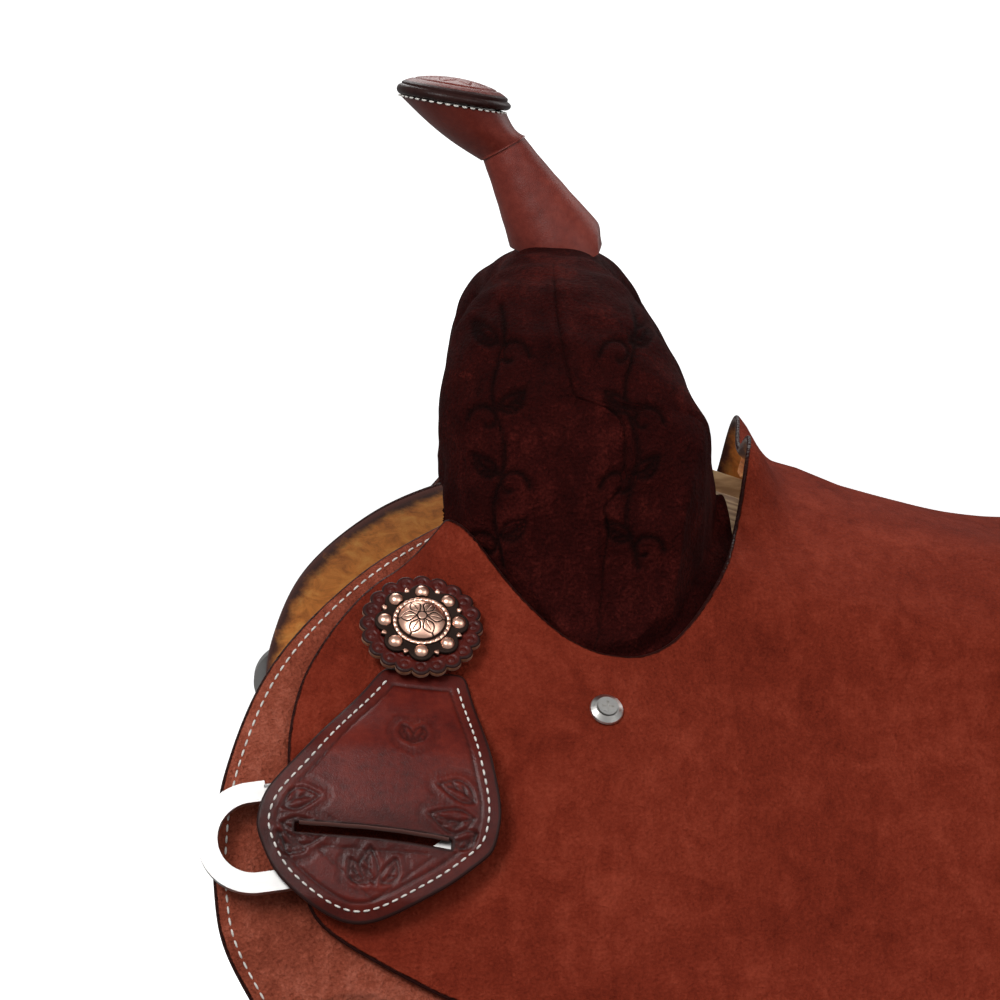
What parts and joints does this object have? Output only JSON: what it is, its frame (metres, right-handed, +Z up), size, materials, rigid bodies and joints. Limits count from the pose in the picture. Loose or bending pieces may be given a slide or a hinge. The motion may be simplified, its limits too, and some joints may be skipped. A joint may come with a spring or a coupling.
{
  "type": "western saddle",
  "caption": "Roughout leather western saddle with a leather-wrapped horn, padded seat, fleece-lined skirts, rigging rings with tooled covers, fenders and hanging stirrups.",
  "frame": {"origin": "on the middle line of the horse's back, 28 mm under the skirts at their lowest", "axes": "+X to the horse's head, +Y to its left side, +Z up; the XZ plane is the plane of symmetry"},
  "size_m": [0.6896, 0.618, 0.9349],
  "materials": {
    "wood": "sanded",
    "steel": "plain",
    "stainless": "polished",
    "copper": "antiqued",
    "roughout": "roughout",
    "swell_roughout": "roughout, carved",
    "smooth": "smooth, oiled",
    "oxblood": "smooth, tooled",
    "strap": "smooth",
    "edge": "painted edge",
    "fleece": "sheared wool",
    "foam": "felt and foam"
  },
  "bodies": {
    "saddle": {"tree_bar_left": "wood", "tree_bar_right": "wood", "tree_fork": "wood", "tree_cantle": "wood", "ground_seat": "strap", "seat_foam": "foam", "horn_core": "steel", "horn_neck_cover": "smooth", "horn_cap_under": "smooth", "horn_cap_rim": "edge", "horn_cap_top": "smooth", "gullet_liner": "strap", "swell_cover": "swell_roughout", "seat_cover": "roughout", "cantle_back": "roughout", "cantle_roll": "smooth", "skirt_left": "roughout", "skirt_right": "roughout", "wool_left": "fleece", "wool_right": "fleece", "skirt_lace": "strap", "rear_jockey_left": "roughout", "rear_jockey_right": "roughout", "rigging_strap_left": "strap", "rigging_strap_right": "strap", "front_rosettes": "oxblood", "rear_rosettes": "oxblood", "conchos": "copper", "seat_screws": "stainless", "seat_washers": "stainless", "flank_strap_left": "strap", "flank_strap_right": "strap"},
    "dee_left": {"rigging_dee_left": "stainless"},
    "cover_left": {"dee_cover_left": "oxblood"},
    "flank_ring_left": {"flank_dee_left": "stainless"},
    "upper_leather_left": {"leather_top_left": "roughout"},
    "lower_leather_left": {"fender_left": "roughout", "stirrup_leather_left": "strap", "blevins_plate_left": "stainless"},
    "sleeve_left": {"blevins_sleeve_left": "stainless"},
    "hanger_left": {"leather_loop_left": "strap", "hobble_strap_left": "roughout", "hobble_buckle_left": "stainless"},
    "stirrup_left": {"stirrup_bolt_left": "steel", "stirrup_frame_left": "roughout", "stirrup_tread_left": "edge"},
    "dee_right": {"rigging_dee_right": "stainless"},
    "cover_right": {"dee_cover_right": "oxblood"},
    "flank_ring_right": {"flank_dee_right": "stainless"},
    "upper_leather_right": {"leather_top_right": "roughout"},
    "lower_leather_right": {"fender_right": "roughout", "stirrup_leather_right": "strap", "blevins_plate_right": "stainless"},
    "sleeve_right": {"blevins_sleeve_right": "stainless"},
    "hanger_right": {"leather_loop_right": "strap", "hobble_strap_right": "roughout", "hobble_buckle_right": "stainless"},
    "stirrup_right": {"stirrup_bolt_right": "steel", "stirrup_frame_right": "roughout", "stirrup_tread_right": "edge"}
  },
  "joints": [
    {"name": "dee_swing_left", "type": "hinge", "parent": "saddle", "child": "dee_left", "pos_m": [0.27996, 0.22151, -0.04456], "axis": [0.9903, 0.0612, -0.125], "range_deg": [0, 36]},
    {"name": "dee_swing_right", "type": "hinge", "parent": "saddle", "child": "dee_right", "pos_m": [0.27996, -0.22151, -0.04456], "axis": [-0.9903, 0.0612, 0.125], "range_deg": [0, 36]},
    {"name": "cover_lift_left", "type": "hinge", "parent": "saddle", "child": "cover_left", "pos_m": [0.23767, 0.17991, 0.00062], "axis": [0.9978, 0.0494, 0.0434], "range_deg": [0, 18]},
    {"name": "cover_lift_right", "type": "hinge", "parent": "saddle", "child": "cover_right", "pos_m": [0.23767, -0.17991, 0.00062], "axis": [-0.9978, 0.0494, -0.0434], "range_deg": [0, 18]},
    {"name": "flank_ring_swing_left", "type": "hinge", "parent": "saddle", "child": "flank_ring_left", "pos_m": [-0.21964, 0.23325, -0.12456], "axis": [0.9987, -0.042, -0.0282], "range_deg": [0, 60]},
    {"name": "flank_ring_swing_right", "type": "hinge", "parent": "saddle", "child": "flank_ring_right", "pos_m": [-0.21964, -0.23325, -0.12456], "axis": [-0.9987, -0.042, 0.0282], "range_deg": [0, 60]},
    {"name": "leather_swing_left", "type": "hinge", "parent": "saddle", "child": "upper_leather_left", "pos_m": [0.04394, 0.16927, -0.04005], "axis": [-0.1392, 0.8255, 0.547], "range_deg": [-9, 9]},
    {"name": "leather_swing_right", "type": "hinge", "parent": "saddle", "child": "upper_leather_right", "pos_m": [0.04394, -0.16927, -0.04005], "axis": [0.1392, 0.8255, -0.547], "range_deg": [-9, 9]},
    {"name": "fender_lift_left", "type": "hinge", "parent": "upper_leather_left", "child": "lower_leather_left", "pos_m": [0.045, 0.281, -0.19], "axis": [1, 0, 0], "range_deg": [0, 45]},
    {"name": "fender_lift_right", "type": "hinge", "parent": "upper_leather_right", "child": "lower_leather_right", "pos_m": [0.045, -0.281, -0.19], "axis": [-1, 0, 0], "range_deg": [0, 45]},
    {"name": "sleeve_slide_left", "type": "slide", "parent": "lower_leather_left", "child": "sleeve_left", "axis": [0, 0, 1], "range_m": [0, 0.03]},
    {"name": "sleeve_slide_right", "type": "slide", "parent": "lower_leather_right", "child": "sleeve_right", "axis": [0, 0, 1], "range_m": [0, 0.03]},
    {"name": "stirrup_turn_left", "type": "hinge", "parent": "lower_leather_left", "child": "hanger_left", "pos_m": [0.045, 0.283, -0.454], "axis": [0, 0, 1], "range_deg": [0, 90]},
    {"name": "stirrup_turn_right", "type": "hinge", "parent": "lower_leather_right", "child": "hanger_right", "pos_m": [0.045, -0.283, -0.454], "axis": [0, 0, -1], "range_deg": [0, 90]},
    {"name": "stirrup_tilt_left", "type": "hinge", "parent": "hanger_left", "child": "stirrup_left", "pos_m": [0.045, 0.283, -0.508], "axis": [1, 0, 0], "range_deg": [-40, 40]},
    {"name": "stirrup_tilt_right", "type": "hinge", "parent": "hanger_right", "child": "stirrup_right", "pos_m": [0.045, -0.283, -0.508], "axis": [-1, 0, 0], "range_deg": [-40, 40]}
  ],
  "couplings": [
    {"joint": "cover_lift_left", "follows": "dee_swing_left", "ratio": 0.5},
    {"joint": "cover_lift_right", "follows": "dee_swing_right", "ratio": 0.5}
  ]
}
